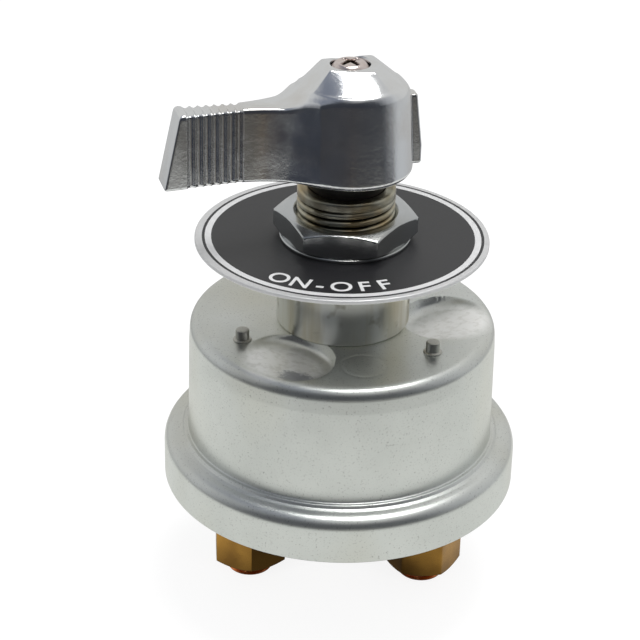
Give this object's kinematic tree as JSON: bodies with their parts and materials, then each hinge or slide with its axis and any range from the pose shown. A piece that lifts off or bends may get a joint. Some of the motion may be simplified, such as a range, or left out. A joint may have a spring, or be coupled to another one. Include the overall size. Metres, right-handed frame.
{
  "type": "battery disconnect switch",
  "caption": "Panel-mounted rotary battery disconnect switch: round flanged metal can, threaded stem with nut and faceplate, lever handle, and stud terminals underneath.",
  "frame": {"origin": "on the stem's axis, at the stem's shoulder that seats against the back of the panel", "axes": "+Z out of the panel towards the handle, the terminals along X; the handle at rest points to -X, turned 17 degrees towards -Y"},
  "size_m": [0.071, 0.071, 0.1139],
  "materials": {
    "handle_chrome": "bright chrome on a die casting",
    "screw_steel": "plated, slightly pink",
    "plate_print": "satin black print with pale rings and a bare metal edge",
    "nut_steel": "bright zinc plated",
    "stem_steel": "turned and zinc plated, a little stained",
    "can_zinc": "zinc plated pressed steel, speckled",
    "pin_steel": "zinc plated",
    "shaft_steel": "blackened and oiled",
    "inner_steel": "bright",
    "spring_steel": "bright",
    "moulded_base": "moulded phenolic",
    "gasket_rubber": "matt",
    "copper": "bright copper",
    "brass": "machined brass"
  },
  "bodies": {
    "housing": {"faceplate": "plate_print", "panel_nut": "nut_steel", "mounting_stem": "stem_steel", "housing_shell": "can_zinc", "stop_pin_left": "pin_steel", "stop_pin_right": "pin_steel", "base_gasket": "gasket_rubber", "base_plate": "moulded_base", "terminal_stud_left": "copper", "seat_washer_left": "inner_steel", "lock_nut_left": "brass", "cable_washer_left": "inner_steel", "spring_washer_left": "spring_steel", "cable_nut_left": "brass", "terminal_stud_right": "copper", "seat_washer_right": "inner_steel", "lock_nut_right": "brass", "cable_washer_right": "inner_steel", "spring_washer_right": "spring_steel", "cable_nut_right": "brass"},
    "rotor": {"handle": "handle_chrome", "handle_screw": "screw_steel", "screw_lock_washer": "screw_steel", "drive_shaft": "shaft_steel", "shaft_seal": "gasket_rubber", "thrust_washer": "inner_steel", "retaining_ring": "spring_steel", "stop_plate": "inner_steel", "contact_carrier": "moulded_base", "contact_spring": "spring_steel", "contact_bar": "copper", "bar_clip": "spring_steel"}
  },
  "joints": [
    {"name": "handle_turn", "type": "hinge", "parent": "housing", "child": "rotor", "pos_m": [0, 0, 0], "axis": [0, 0, 1], "range_deg": [0, 90]}
  ]
}
